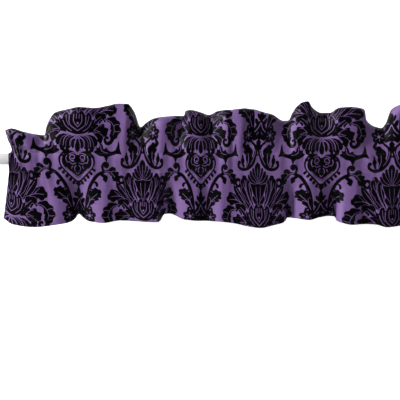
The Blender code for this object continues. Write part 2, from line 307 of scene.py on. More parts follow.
def relief(across, up):
    """How far the cloth's own small folds stand forward of its main ones."""
    wander = sum(radians * wave(across, length, phase) for radians, length, phase in WANDERS)
    pleats = wave(across, PLEAT, wander)
    finer = np.sin(across * 2 * math.pi / FINE_PLEAT - FINE_WANDER * wander + FINE_PHASE)
    above = np.clip(up - UPPER_SEAM, 0, None)
    below = np.clip(SKIRT - up, 0, None)
    leaving = (1 - np.exp(-above / STITCH_HOLD)) * np.exp(-above / HEADER_FADE)
    hanging = (1 - np.exp(-below / STITCH_HOLD)) * np.exp(-below / SKIRT_FADE)
    in_pocket = np.sin(math.pi * np.clip((up - SKIRT) / POCKET_FRONT, 0, 1))
    at_hem = np.exp(-(((up - HEM_STITCHES) / HEM_FADE) ** 2))
    height = PLEAT_HEIGHT * pleats * (leaving + hanging) + FINE_HEIGHT * finer * (leaving + hanging)
    height = height + (POCKET_PLEAT_HEIGHT * pleats + POCKET_FINE_HEIGHT * finer) * in_pocket
    height = height + HEM_PLEAT_HEIGHT * wave(across, HEM_PLEAT, 0.0) * at_hem
    for from_across, from_up, to_across, to_up, half_width, forward in CREASES:
        run = (to_across - from_across, to_up - from_up)
        dx = across * 1000 - from_across
        dy = up * 1000 - from_up
        t = np.clip((dx * run[0] + dy * run[1]) / (run[0] ** 2 + run[1] ** 2), 0, 1)
        away = np.hypot(dx - t * run[0], dy - t * run[1])
        profile = MM * forward * np.exp(-((away / half_width) ** 2))
        height = height + profile * (1 - CREASE_TAPER * (2 * t - 1) ** 2)
    # in the pocket the pole is close behind, so no crease goes deep there
    from_pocket = np.maximum(np.abs(up - SKIRT - POCKET_FRONT / 2) - POCKET_FRONT / 2, 0)
    return np.maximum(height, -DEEPEST_IN_POCKET - DEEPER_OUTSIDE * from_pocket)


def creased_front(across, up):
    """The right side with its small folds and creases too."""
    return smooth_front(across, up) + facing_forward(smooth_front, across, up) * relief(across, up)[:, None]


def back_of_pocket(across, up):
    """The pocket's back layer, which lies against the pole."""
    share = np.clip((up - FACING_SEAM) / POCKET_BACK, 0, 1)
    return round_the_pole(across, share, back_steps)


def turned(from_fold, thickness, length):
    """Round the fold of a doubled edge: how far short of the fold, and how far behind the front skin."""
    radius = thickness / 2
    half = math.pi * radius / 2
    angle = np.clip(from_fold / radius, -math.pi / 2, math.pi / 2)
    beyond = np.clip(np.abs(from_fold) - half, 0, None) * (length - radius) / (length - half)
    return radius * (1 - np.cos(angle)) + beyond, radius * (1 + np.sin(angle))


# How the layers lie on each other, in metres: the stitching's pull, and the run from a seam to the bare pole
STITCH_PULL = 0.0003
STITCH_PULL_WIDTH = 0.0045
ONTO_POLE = 0.006
SEAM_MARGIN = 0.001
CLEAR_OF_SEAM = 0.0013
NEAR_TAIL = 0.02
TAIL_LEAN = 0.12


def cloth_place(across, up, inward=0.0):
    """A place on the hung cloth. inward is how far under its right side, towards its wrong side."""
    near_hem = up < MID_SKIRT
    near_top = up > MID_HEADER
    single = ~near_hem & ~near_top
    hem_short, hem_behind = turned(-up, HEM_THICKNESS, SKIRT)
    top_short, top_behind = turned(up - HEADER_EDGE, HEADER_THICKNESS, HEADER)
    on_front = np.where(near_hem, hem_short, np.where(near_top, HEADER_EDGE - top_short, up))
    behind = np.where(near_hem, hem_behind, np.where(near_top, top_behind, 0.0))
    tail = np.clip(up - BACK_SEAM, 0, None)
    in_tail = up > BACK_SEAM - NEAR_TAIL
    on_front = np.where(in_tail, SKIRT - (up - BACK_SEAM), on_front)
    behind = np.where(in_tail, HEADER_THICKNESS - TAIL_LEAN * tail, behind)
    pull = np.zeros_like(up)
    for seam in (SKIRT, UPPER_SEAM):
        pull = pull + STITCH_PULL * np.exp(-(((on_front - seam) / STITCH_PULL_WIDTH) ** 2))
    faces_back = (up < 0) | (up > HEADER_EDGE)
    behind = behind + np.where(faces_back, -pull, pull)
    half = np.where(near_top, HEADER_THICKNESS, HEM_THICKNESS) / 2
    round_fold = np.clip(np.where(near_hem, -up, up - HEADER_EDGE) / (half * math.pi / 2), -1, 1)
    inner = behind + inward * np.where(single, 1, -round_fold)
    inner = np.where(in_tail, behind - inward, inner)
    at_fold = np.sqrt(np.clip(1 - round_fold**2, 0, 1)) * inward
    on_front = on_front + np.where(near_hem, at_fold, np.where(near_top & ~in_tail, -at_fold, 0))
    front = creased_front(across, on_front)
    place = front - facing_forward(creased_front, across, on_front) * inner[:, None]
    bare = back_of_pocket(across, up)
    clear_of_seams = np.clip(up, FACING_SEAM + CLEAR_OF_SEAM, BACK_SEAM - CLEAR_OF_SEAM)
    bare = bare + facing_forward(back_of_pocket, across, clear_of_seams) * -inward
    onto = np.clip((up - FACING_SEAM + SEAM_MARGIN) / ONTO_POLE, 0, 1)
    off = np.clip((BACK_SEAM + SEAM_MARGIN - up) / ONTO_POLE, 0, 1)
    over_pole = onto * off
    over_pole = over_pole * over_pole * (3 - 2 * over_pole)
    return place + (bare - place) * over_pole[:, None]


# The damask. A traditional pattern of mirrored leaves, flowers and hearts, black pile on a purple ground.
# One motif is drawn in mm from the middle of its heart: the right-hand half of what is mirrored, and what
# stands on the middle line. Its columns stand 240 mm apart, every other one half a repeat higher.
COLUMN_STEP = 240
FIRST_COLUMN = 30
REPEAT = 574
HEART_UP = 190
LEAF_LEAN = 0.5
LEAF_ROUNDNESS = 0.75
FLOWER_TURN = 0.3
POINTS_IN_PETAL = 5
PETAL_ROUNDNESS = 0.7
CURL_IN = 0.62
CURL_TAPER = 0.2
SMALLEST = 0.0003
damask = []


def through(a, b, c, d, f):
    """The curve from b to c at f of the way, with a before them and d after."""
    return 0.5 * (2 * b + (c - a) * f + (2 * a - 5 * b + 4 * c - d) * f**2 + (3 * b - a - 3 * c + d) * f**3)


def smooth_line(points, count):
    """A smooth line through a few placed points."""
    p = np.array(points, float)
    p = np.vstack([2 * p[0] - p[1], p, 2 * p[-1] - p[-2]])
    t = np.linspace(0, len(points) - 1, count)
    k = np.minimum(t.astype(int), len(points) - 2)
    return through(p[k], p[k + 1], p[k + 2], p[k + 3], (t - k)[:, None])


def sides_of(line):
    """Unit vectors to the left of a line and along it."""
    run = np.gradient(line, axis=0)
    run /= np.linalg.norm(run, axis=1, keepdims=True)
    return np.stack([-run[:, 1], run[:, 0]], 1), run


def stem(points, first, last, count, middle=None):
    """A stem that tapers between its half widths at the start, half way and at the end."""
    line = smooth_line(points, count)
    side, _ = sides_of(line)
    middle = (first + last) / 2 if middle is None else middle
    half = np.interp(np.linspace(0, 1, count), [0, 0.5, 1], [first, middle, last])[:, None]
    return np.vstack([line + side * half, (line - side * half)[::-1]])


def leaf(points, half, lobes=0, cut=0.45, full=0.45):
    """A leaf on its midrib, widest at full of its length, with lobes cut in it that lean to its tip."""
    count = 4 * lobes + 5 if lobes else 7
    line = smooth_line(points, count)
    side, run = sides_of(line)
    t = np.linspace(0, 1, count)
    shape = np.sin(math.pi * t ** (math.log(0.5) / math.log(full))) ** LEAF_ROUNDNESS
    if lobes:
        shape = shape * (1 - cut + cut * np.abs(np.sin(math.pi * t * (lobes + 0.5))))
    width = (half * shape)[:, None]
    left = line + side * width + run * width * LEAF_LEAN
    right = line - side * width + run * width * LEAF_LEAN
    left[0] = line[0]
    left[-1] = line[-1]
    return np.vstack([left, right[::-1][1:-1]])


def closed(points, count):
    """A smooth closed outline through placed points."""
    p = np.array(points, float)
    n = len(p)
    t = np.linspace(0, n, count, endpoint=False)
    k = t.astype(int)
    return through(p[(k - 1) % n], p[k % n], p[(k + 1) % n], p[(k + 2) % n], (t - k)[:, None])


def both_halves(points, count):
    """A smooth closed outline from its right-hand half, which starts and ends on the middle line."""
    return closed(list(points) + [(-x, y) for x, y in points[-2:0:-1]], count)


def flower(x, y, radius, petals, cut):
    """A flower seen from the front, with its petals cut apart, or a berry where cut is nothing."""
    count = petals * POINTS_IN_PETAL
    angle = np.arange(count) * 2 * math.pi / count
    reach = radius * (1 - cut + cut * np.abs(np.cos((angle - FLOWER_TURN) * petals / 2)) ** PETAL_ROUNDNESS)
    return np.stack([x + reach * np.cos(angle), y + reach * np.sin(angle)], 1)


def curl(x, y, radius, start, turns, half, count):
    """A stem that winds inwards round (x, y) from start, in degrees."""
    t = np.linspace(0, 1, count)
    angle = math.radians(start) + turns * 2 * math.pi * t
    reach = radius * (1 - CURL_IN * t)
    line = np.stack([x + reach * np.cos(angle), y + reach * np.sin(angle)], 1)
    side, _ = sides_of(line)
    width = (half * (1 - CURL_TAPER * t))[:, None]
    return np.vstack([line + side * width, (line - side * width)[::-1]])


def flock(outline):
    """Black pile, drawn over what is there."""
    damask.append((outline, True))


def clear(outline):
    """A gap or a fine line where the ground shows in the pile."""
    damask.append((outline, False))


def flock_pair(outline):
    """Black pile on both sides of the middle line."""
    flock(outline)
    flock((outline * (-1, 1))[::-1])


def clear_pair(outline):
    """A gap on both sides of the middle line."""
    clear(outline)
    clear((outline * (-1, 1))[::-1])


def flock_pair_over(outline, gap=1.0):
    """A mirrored pair that lies over other pile, set off from it by a narrow gap."""
    side, _ = sides_of(np.vstack([outline[-1:], outline, outline[:1]]))
    x, y = outline[:, 0], outline[:, 1]
    anticlockwise = (x * np.roll(y, -1) - np.roll(x, -1) * y).sum() > 0
    clear_pair(outline + side[1:-1] * (-gap if anticlockwise else gap))
    flock_pair(outline)


def stems(*sizes):
    """A mirrored pair of stems."""
    flock_pair(stem(*sizes))


def veins(*sizes):
    """A mirrored pair of fine lines left bare in the pile."""
    clear_pair(stem(*sizes))


def leaves(*sizes, **shape):
    """A mirrored pair of leaves."""
    flock_pair(leaf(*sizes, **shape))


def leaves_over(*sizes, gap=1.0, **shape):
    """A mirrored pair of leaves that lies over other pile."""
    flock_pair_over(leaf(*sizes, **shape), gap)


# Feather fan: a palmette on a tapering trunk, between plumes, scrolls and hanging leaves
leaves([(42, 168), (84, 190), (132, 186)], 25, 3, 0.42, full=0.62)
veins([(60, 176), (90, 188), (120, 187)], 1.1, 0.7, 8)
veins([(88, 188), (100, 200), (108, 206)], 0.9, 0.5, 5)
leaves_over([(60, 176), (75, 165), (73, 142)], 10, 2)
leaves_over([(40, 160), (68, 190), (102, 238)], 11, full=0.66, gap=1.2)
veins([(58, 182), (76, 206), (92, 226)], 0.9, 0.6, 8)
flock_pair_over(stem([(34, 164), (52, 194), (66, 222), (72, 250), (84, 258)], 7.0, 4.6, 16, 7.5), 1.2)
flock_pair(curl(80, 243, 14, 85, -0.8, 5.4, 14))
leaves_over([(24, 162), (48, 208), (56, 272)], 19, 4, 0.34, full=0.7, gap=1.1)
veins([(34, 184), (50, 220), (54, 256)], 1.1, 0.7, 9)
veins([(46, 214), (58, 232), (62, 246)], 0.8, 0.5, 6)
leaves_over([(18, 166), (34, 208), (40, 262)], 11, full=0.7, gap=1.1)
veins([(26, 190), (35, 220), (38, 246)], 0.9, 0.6, 8)
trunk = [(0, 176), (15, 190), (21, 214), (33, 246), (20, 252), (0, 254)]
clear(both_halves([(x * 1.07, y) for x, y in trunk], 30))
flock(both_halves(trunk, 30))
clear(stem([(-29, 247), (0, 249), (29, 247)], 0.9, 0.9, 7))
veins([(5, 196), (8, 218), (9, 238)], 0.8, 0.6, 7)
leaves_over([(5, 246), (24, 254), (40, 274)], 7.5, full=0.62)
leaves_over([(3, 248), (18, 262), (31, 288)], 8, full=0.62)
leaves_over([(2, 250), (10, 272), (20, 300)], 8, full=0.62)
clear(leaf([(0, 248), (0, 284), (0, 322)], 14, full=0.6))
flock(leaf([(0, 249), (0, 284), (0, 319)], 12, full=0.6))
clear(stem([(0, 256), (0, 300)], 0.9, 0.6, 6))
flock_pair_over(closed([(3, 176), (14, 182), (26, 200), (20, 210), (11, 198), (5, 190)], 14), 1.3)

# Flaring leaves round the tulip
leaves_over([(34, 124), (56, 146), (68, 166), (86, 166), (94, 148)], 14, 3, 0.4, full=0.45)
veins([(46, 136), (62, 156), (76, 167)], 1.0, 0.6, 8)
leaves_over([(20, 116), (54, 124), (82, 121), (103, 106)], 23, 4, 0.42, full=0.6)
veins([(28, 118), (54, 123), (80, 117)], 1.0, 0.6, 8)
veins([(56, 123), (70, 134), (82, 138)], 0.8, 0.5, 5)
veins([(54, 122), (66, 110), (74, 100)], 0.8, 0.5, 5)
leaves_over([(54, 112), (74, 104), (84, 80)], 13, 2, 0.4, full=0.6)

# Tulip
tulip = [(0, 108), (22, 111), (40, 121), (50, 138), (56, 160), (45, 153), (41, 170), (29, 180), (23, 168)]
tulip += [(11, 186), (0, 176)]
clear(both_halves([(x * 1.04, 150 + (y - 150) * 1.035) for x, y in tulip], 44))
flock(both_halves(tulip, 44))
leaves([(34, 112), (52, 128), (58, 152)], 8, 2, 0.4)
veins([(24, 166), (23, 138), (0, 119)], 1.2, 1.3, 11, 1.0)
veins([(11, 172), (12, 148), (0, 131)], 1.1, 1.1, 9)
veins([(43, 150), (36, 132), (18, 117)], 1.1, 0.7, 8)
veins([(33, 168), (32, 150), (26, 134)], 0.8, 0.6, 6)
clear(flower(0, 144, 3.6, 3, 0.2))
veins([(4, 158), (4, 174)], 0.9, 0.7, 4)

# Hanging fan
leaves([(20, 107), (50, 98), (69, 69)], 11, full=0.68)
leaves_over([(12, 107), (38, 94), (53, 57)], 11, full=0.68)
leaves_over([(6, 105), (25, 90), (33, 57)], 9, full=0.66)
leaves_over([(3, 102), (13, 86), (17, 60)], 7, full=0.64)
flock(leaf([(0, 104), (0, 78), (0, 49)], 9, full=0.66))
veins([(0, 107), (28, 104), (43, 90), (48, 68)], 1.6, 1.0, 13)
veins([(0, 96), (16, 94), (24, 84), (26, 68)], 1.5, 0.9, 12)
veins([(7, 86), (10, 78), (10, 66)], 1.1, 0.7, 6)

# Heart, with a leaf on each shoulder and teeth along its lower sides
for step in range(5):
    share = step / 4
    x, y = 56 - 44 * share, -6 - 48 * share
    leaves([(x - 7, y + 6), (x + 3, y - 3), (x + 9 - 3 * share, y - 10 - 2 * share)], 5.6, full=0.5)
leaves([(36, 42), (48, 54), (62, 70)], 8, 2, 0.4)
leaves([(30, 44), (35, 58), (28, 72)], 7, 2, 0.4)
heart = [(0, 40), (14, 51), (30, 54), (47, 50), (60, 38), (65, 20), (59, 0), (42, -22), (21, -44), (0, -64)]
flock(both_halves(heart, 56))
clear(both_halves([(x * 0.90, 4 + (y - 4) * 0.86) for x, y in heart], 52))
flock(both_halves([(x * 0.82, 6 + (y - 6) * (0.90 if y > 6 else 0.68)) for x, y in heart], 44))
stems([(40, 44), (46, 36), (56, 32)], 4.0, 2.0, 6)
flock(closed([(0, -52), (7, -60), (13, -64), (7, -70), (0, -82), (-7, -70), (-13, -64), (-7, -60)], 20))
veins([(40, -4), (22, -22), (0, -38)], 1.0, 1.2, 7)
clear_pair(curl(17, 31, 12, 245, 1.2, 1.7, 26))
veins([(3, 40), (8, 46), (20, 46), (31, 40)], 1.2, 1.2, 9)
veins([(37, 36), (40, 24), (34, 12)], 1.4, 0.9, 7)
veins([(5, 14), (18, 9), (28, 15), (36, 14)], 1.4, 0.9, 9)
veins([(5, 6), (11, -5), (8, -16)], 1.5, 0.9, 7)
veins([(18, 2), (22, -8)], 1.5, 1.0, 4)
clear(stem([(-6, -20), (0, -27), (6, -20)], 1.0, 1.0, 7))

# Curled leaf between the columns, and the horn under it
leaves_over([(92, 158), (117, 154), (132, 126), (120, 88)], 21, 5, 0.32, full=0.54, gap=1.6)
stems([(126, 96), (116, 83), (104, 82), (97, 93), (104, 101), (110, 96)], 7.0, 3.6, 18, 5.2)
veins([(96, 157), (116, 150), (129, 126), (125, 108)], 0.9, 0.5, 11)
veins([(125, 138), (136, 143), (145, 142)], 0.8, 0.5, 4)
veins([(130, 120), (140, 119), (149, 121)], 0.8, 0.5, 4)
horn = [(147, 90), (152, 74), (154, 62), (161, 45), (147, 48), (134, 44), (121, 40), (112, 35), (106, 19)]
horn += [(98, 35), (86, 37), (74, 42), (60, 53), (69, 58), (68, 68), (78, 66), (82, 82), (92, 74), (95, 62)]
horn += [(105, 68), (111, 59), (124, 55), (137, 60), (143, 72)]
flock_pair(closed(horn, 46))
veins([(84, 74), (86, 60), (98, 52), (112, 50)], 1.0, 0.7, 8)

# Arching branch, its curled end and its leaves
stems([(27, -182), (31, -146), (35, -104), (48, -62), (72, -28), (102, -12)], 6.2, 5.4, 26, 6.6)
veins([(31, -150), (35, -112), (46, -74)], 0.9, 0.7, 8)
stems([(94, -12), (91, 4), (98, 16), (109, 14), (108, 4)], 4.6, 6.4, 12, 5.2)
flock_pair(flower(105, 6, 8, 3, 0))
leaves([(92, -12), (118, -14), (136, -28), (143, -50)], 18, 4, 0.46, full=0.62)
leaves([(108, -14), (124, -4), (140, -8)], 8, full=0.6)
veins([(98, -12), (118, -15), (135, -32)], 1.1, 0.7, 8)
veins([(120, -17), (128, -12), (134, -11)], 0.8, 0.5, 4)
leaves([(78, -24), (96, -30), (104, -50)], 11, 2, 0.4, full=0.6)
leaves([(54, -50), (68, -54), (72, -68)], 6, full=0.6)
leaves([(42, -76), (54, -78), (58, -92)], 5, full=0.6)

# Oak leaf under the arch, with the small curl at its foot
leaves([(30, -156), (41, -124), (59, -98), (86, -79)], 24, 4, 0.44, full=0.6)
veins([(33, -142), (46, -114), (72, -90)], 1.1, 0.7, 9)
veins([(47, -113), (62, -110)], 0.9, 0.5, 4)
veins([(43, -118), (44, -100)], 0.9, 0.5, 4)
flock_pair(curl(44, -142, 9, 190, 0.8, 4.2, 11))

# Spear between the branches, and the crown at its foot
flock(leaf([(0, -128), (0, -104), (0, -76)], 9, full=0.45))
leaves([(0, -124), (10, -110), (17, -94)], 5, full=0.6)
leaves([(2, -136), (14, -128), (24, -112)], 7, full=0.5)
flock(closed([(-26, -150), (0, -118), (26, -150), (24, -186), (0, -178), (-24, -186)], 20))
veins([(0, -126), (10, -146), (22, -158)], 1.4, 1.2, 7)
flock(both_halves([(0, -180), (16, -176), (13, -162), (6, -164), (0, -144)], 16))
veins([(5, -158), (12, -166)], 0.9, 0.7, 4)

# Flowers and their stem
stems([(40, -172), (27, -190), (12, -204), (4, -236)], 3.4, 5.0, 12)
flock(leaf([(0, -176), (0, -196), (0, -218)], 12, 2, 0.4))
flock_pair(flower(43, -168, 25, 6, 0.30))
clear_pair(flower(43, -168, 5.5, 5, 0.3))
for turn in (20, 80, 140, 200, 260, 320):
    east, north = math.cos(math.radians(turn)), math.sin(math.radians(turn))
    veins([(43 + 8 * east, -168 + 8 * north), (43 + 15 * east, -168 + 15 * north)], 0.9, 0.6, 3)
leaves([(46, -184), (56, -196), (54, -214)], 9, 2, 0.4, full=0.6)

# Hooks, and the leaf that stands in each
stems([(4, -200), (9, -228), (18, -254), (36, -276), (58, -284), (76, -276), (80, -262)], 6.4, 4.4, 22, 6.6)
flock_pair(flower(76, -259, 7.0, 2, 0))
leaves([(52, -284), (39, -262), (36, -234), (46, -198)], 19, 3, 0.36, full=0.66)
leaves([(52, -282), (60, -262), (62, -232)], 8, 2, full=0.6)
veins([(48, -276), (38, -254), (38, -228)], 1.1, 0.7, 9)
veins([(8, -214), (14, -238), (30, -264)], 1.0, 0.7, 8)


# The patterned width: the motif repeated over the cut cloth, in metres, and trimmed to its edges. It is cut
# and gathered a little out of true, so each column is moved: (place across, move across, move up) in mm.
COLUMN_MOVES = (
    (30, 0, 21), (270, 14, 0), (510, 4, -7), (750, 4, -6), (990, -4, -15), (1230, -9, -10), (1470, 0, -22),
    (1630, 0, -10),
)
moved_at, moved_across, moved_up = np.array(COLUMN_MOVES).T * MM
patterned = []
for column in range(-1, 8):
    for repeat in range(-1, 3):
        up = HEART_UP + REPEAT * repeat + (0 if column % 2 else REPEAT // 2)
        for outline, black in damask:
            placed = (outline + (FIRST_COLUMN + COLUMN_STEP * column, up)) * MM
            moves = [np.interp(placed[:, 0], moved_at, move) for move in (moved_across, moved_up)]
            placed = placed + np.stack(moves, 1)
            trimmed = np.clip(placed, (0, -HEM_TURN), (CUT_WIDTH, CLOTH_END))
            if (np.ptp(trimmed, axis=0) > SMALLEST).all():
                patterned.append((trimmed, black))

# The cloth's mesh, one closed skin. The right side is a net of triangles that follows every edge of the
# damask, the wrong side is a plainer net, and a rim joins the two along the cut edges.
NET_ACROSS = 0.0060
NET_UP = 0.0106
NET_CELL = 0.0030
FOLD_MARGIN = 0.0045
PLAIN_MARGIN = 0.006
SAME_POINT = 1e-6
FLAT_SLIVER = 1e-13
ROWS_AT_FOLDS = (
    (0.0, (-0.0009, -0.00045, 0.00045, 0.0009)),
    (HEADER_EDGE, (-0.0024, -0.0016, -0.0008, 0.0008, 0.0016, 0.0024)),
    (HEM_STITCHES, (-0.0018, 0.0018)),
    (SKIRT, (-0.004, 0.004)),
    (UPPER_SEAM, (-0.004, 0.004)),
    (FACING_SEAM, (-0.004, 0.004)),
    (BACK_SEAM, (-0.004, 0.004)),
)
KEPT_ROWS = {0.0, HEADER_EDGE, SKIRT, UPPER_SEAM}
# Lines that rub pale, and how far the wear reaches from each
WORN_LINES = ((0.0, 0.0035), (HEADER_EDGE, 0.0035), (SKIRT, 0.002), (UPPER_SEAM, 0.002))
rows = list(np.arange(-HEM_TURN, CLOTH_END - NET_UP / 2, NET_UP)) + [CLOTH_END]
for fold, steps in ROWS_AT_FOLDS:
    rows = [row for row in rows if abs(row - fold) > FOLD_MARGIN or row == CLOTH_END]
    rows += [fold] + [fold + step for step in steps]
rows = np.array(sorted(rows))
columns = np.linspace(0, CUT_WIDTH, round(CUT_WIDTH / NET_ACROSS) + 1)


def cell_of(x, y):
    """The cell of a fine grid that a flat place lies in, so that net points keep off the outlines."""
    return round(x / NET_CELL), round(y / NET_CELL)


def flat_net(net_points, net_edges, keep_places):
    """Triangles over flat points that follow every given edge, all turned the same way round."""
    found, _, faces, places, _, _ = delaunay_2d_cdt(net_points, net_edges, [], 0, SAME_POINT, keep_places)
    flat = np.array(found)
    faces = np.array(faces)
    a, b, c = (flat[faces[:, i]] for i in range(3))
    turn = (b[:, 0] - a[:, 0]) * (c[:, 1] - a[:, 1]) - (b[:, 1] - a[:, 1]) * (c[:, 0] - a[:, 0])
    faces[turn < 0] = faces[turn < 0][:, ::-1]
    return flat, faces[np.abs(turn) > FLAT_SLIVER], places


points = []
edges = []
taken = set()
for outline, _ in patterned:
    first = len(points)
    points += outline.tolist()
    edges += [(first + i, first + (i + 1) % len(outline)) for i in range(len(outline))]
    taken |= {cell_of(x, y) for x, y in outline}
for row in rows:
    line = []
    for column in columns:
        on_edge = column in (columns[0], columns[-1]) or row in (rows[0], rows[-1])
        if on_edge or row in KEPT_ROWS or cell_of(column, row) not in taken:
            line.append(len(points))
            points.append((column, row))
    if row in KEPT_ROWS:
        edges += list(zip(line, line[1:]))
corners_at = len(points)
points += [(0, rows[0]), (CUT_WIDTH, rows[0]), (CUT_WIDTH, rows[-1]), (0, rows[-1])]
edges += [(corners_at + i, corners_at + (i + 1) % 4) for i in range(4)]
flat_right, right_faces, _ = flat_net(points, edges, False)

centres = flat_right[right_faces].mean(axis=1)
by_column = np.argsort(centres[:, 0])
centres_across = centres[by_column, 0]
in_pile = np.zeros(len(right_faces), bool)
for outline, black in patterned:
    # each outline colours the triangles inside it, however it crosses itself
    left, bottom = outline.min(axis=0)
    right, top = outline.max(axis=0)
    near = by_column[np.searchsorted(centres_across, left) : np.searchsorted(centres_across, right)]
    near = near[(centres[near, 1] > bottom) & (centres[near, 1] < top) & (in_pile[near] != black)]
    x, y = centres[near, 0][:, None], centres[near, 1][:, None]
    ax, ay = outline[:, 0], outline[:, 1]
    bx, by = np.roll(ax, -1), np.roll(ay, -1)
    to_left = (bx - ax) * (y - ay) - (x - ax) * (by - ay) > 0
    turns = ((ay <= y) & (by > y) & to_left).sum(axis=1) - ((ay > y) & (by <= y) & ~to_left).sum(axis=1)
    in_pile[near[turns != 0]] = black

ways = np.concatenate([right_faces[:, [0, 1]], right_faces[:, [1, 2]], right_faces[:, [2, 0]]])
going = {(i, j) for i, j in ways.tolist()}
border = {i: j for i, j in going if (j, i) not in going}
loop = [min(border)]
while border[loop[-1]] != loop[0]:
    loop.append(border[loop[-1]])
points = [tuple(flat_right[i]) for i in loop]
edges = []
for count, row in enumerate(rows[1:-1]):
    near_fold = min(abs(row - fold) for fold, _ in ROWS_AT_FOLDS) < PLAIN_MARGIN
    if count % 2 == 0 or near_fold:
        line = list(range(len(points), len(points) + len(columns) - 2))
        points += [(column, row) for column in columns[1:-1]]
        if row in KEPT_ROWS:
            edges += list(zip(line, line[1:]))
edges += [(i, (i + 1) % len(loop)) for i in range(len(loop))]
flat_wrong, wrong_faces, places = flat_net(points, edges, True)

first_wrong = len(flat_right)
twin = {}
for now, before in enumerate(places):
    for old in before:
        if old < len(loop):
            twin[loop[old]] = first_wrong + now
rim = []
for i in loop:
    j = border[i]
    rim.append((j, i, twin[i]))
    rim.append((j, twin[i], twin[j]))

right_places = cloth_place(flat_right[:, 0], flat_right[:, 1])
wrong_places = cloth_place(flat_wrong[:, 0], flat_wrong[:, 1], CLOTH_THICKNESS)
all_faces = right_faces.tolist() + (wrong_faces[:, ::-1] + first_wrong).tolist() + rim
finish_of_face = np.concatenate([in_pile.astype(int), np.full(len(wrong_faces), 2), np.zeros(len(rim), int)])
cloth_data = bpy.data.meshes.new("damask_valance")
cloth_data.from_pydata(np.concatenate([right_places, wrong_places]).tolist(), [], all_faces)
cloth_data.polygons.foreach_set("material_index", finish_of_face)
flat_places = np.concatenate([flat_right, flat_wrong])
corners = np.empty(len(cloth_data.loops), int)
cloth_data.loops.foreach_get("vertex_index", corners)
cloth_data.uv_layers.new(name="flat").data.foreach_set("uv", flat_places[corners].astype(np.float32).ravel())
edge_wear = np.zeros(len(flat_places))
for fold, reach in WORN_LINES:
    edge_wear = np.maximum(edge_wear, np.exp(-(((flat_places[:, 1] - fold) / reach) ** 2)))
wear_data = cloth_data.attributes.new("edge_wear", "FLOAT", "POINT").data
wear_data.foreach_set("value", edge_wear.astype(np.float32))
cloth_data.shade_smooth()
cloth_data.update()


def into_scene(name, data):
    """A new object in the scene with that data."""
    piece = bpy.data.objects.new(name, data)
    bpy.context.scene.collection.objects.link(piece)
    return piece


cloth = into_scene("damask_valance", cloth_data)


# The cloth's finishes. Plain-woven threads with slubs, a soft nap and slow variation are one shader group,
# read from the flat cloth's own places. The ground, the black pile and the wrong side each set it anew.
THREADS = 1500
SLUB_SCALE = 900
SLUB_STRETCH = 0.06
FUZZ_SCALE = 2600
CLOUD_SCALE = 14
CLOUD_SHARE = 0.35
SPECKLE_SCALE = 330
SPECKLE_SHARE = 0.9
SLUB_SHADE = 0.8
WEAVE_SHADE = 0.16
NAP_SHADE = 0.5
ROUGHNESS_SPREAD = 0.07
WEAVE_DEPTH = 0.0002
WEAR_SHARE = 0.35


def set_sockets(node, inputs):
    """Feeds a node's inputs, each from a plain value or from another node's output."""
    for name, value in inputs.items():
        if isinstance(value, bpy.types.NodeSocket):
            node.id_data.links.new(value, node.inputs[name])
        else:
            node.inputs[name].default_value = value
    return node


def add_node(tree, kind, inputs):
    """A new node with its inputs fed."""
    return set_sockets(tree.nodes.new(kind), inputs)


def add_noise(tree, where, scale, detail, stretch=None):
    """Cloudy noise, drawn out along the axes where stretch is given."""
    if stretch:
        where = add_node(tree, "ShaderNodeMapping", {"Vector": where, "Scale": stretch}).outputs[0]
    inputs = {"Vector": where, "Scale": scale, "Detail": detail}
    return add_node(tree, "ShaderNodeTexNoise", inputs).outputs["Fac"]


def add_maths(tree, operation, first, second=0.5):
    """A Math node on numbers or sockets."""
    node = add_node(tree, "ShaderNodeMath", {0: first, 1: second})
    node.operation = operation
    return node.outputs[0]


def weave_group():
    """The plain weave as a shader group: its height, and how light or dark each place is."""
    group = bpy.data.node_groups.new("plain weave", "ShaderNodeTree")
    for name, value in (("Threads per metre", THREADS), ("Slubs", 0.3), ("Nap", 0.2)):
        group.interface.new_socket(name, in_out="INPUT", socket_type="NodeSocketFloat").default_value = value
    for name in ("Height", "Shade"):
        group.interface.new_socket(name, in_out="OUTPUT", socket_type="NodeSocketFloat")
    given = group.nodes.new("NodeGroupInput").outputs
    flat = group.nodes.new("ShaderNodeUVMap")
    flat.uv_map = "flat"
    place = flat.outputs["UV"]
    across, up, _ = add_node(group, "ShaderNodeSeparateXYZ", {0: place}).outputs

    def maths(*given_values):
        return add_maths(group, *given_values)

    def about_middle(cloud, share):
        return maths("MULTIPLY", maths("SUBTRACT", cloud, 0.5), share)

    turns = maths("MULTIPLY", given["Threads per metre"], math.pi)
    warp = maths("SINE", maths("MULTIPLY", across, turns))
    weft = maths("SINE", maths("MULTIPLY", up, turns))
    over = maths("MULTIPLY", warp, weft)
    slub_up = add_noise(group, place, SLUB_SCALE, 2, (1, SLUB_STRETCH, 1))
    slub_across = add_noise(group, place, SLUB_SCALE, 2, (SLUB_STRETCH, 1, 1))
    slub = maths("ADD", slub_up, slub_across)
    slub = maths("MULTIPLY", maths("SUBTRACT", slub, 1.0), given["Slubs"])
    fuzz = add_noise(group, place, FUZZ_SCALE, 2)
    nap = about_middle(fuzz, given["Nap"])
    cloud = add_noise(group, place, CLOUD_SCALE, 3, (1, 1.4, 1))
    slow = about_middle(cloud, CLOUD_SHARE)
    speckle = about_middle(add_noise(group, place, SPECKLE_SCALE, 3), SPECKLE_SHARE)
    height = maths("ADD", maths("ADD", maths("MULTIPLY", over, 0.5), slub), nap)
    shade = maths("ADD", maths("MULTIPLY", slub, SLUB_SHADE), slow)
    shade = maths("ADD", shade, maths("MULTIPLY", over, WEAVE_SHADE))
    shade = maths("ADD", maths("ADD", shade, maths("MULTIPLY", nap, NAP_SHADE)), speckle)
    add_node(group, "NodeGroupOutput", {"Height": height, "Shade": shade})
    return group


weave = weave_group()


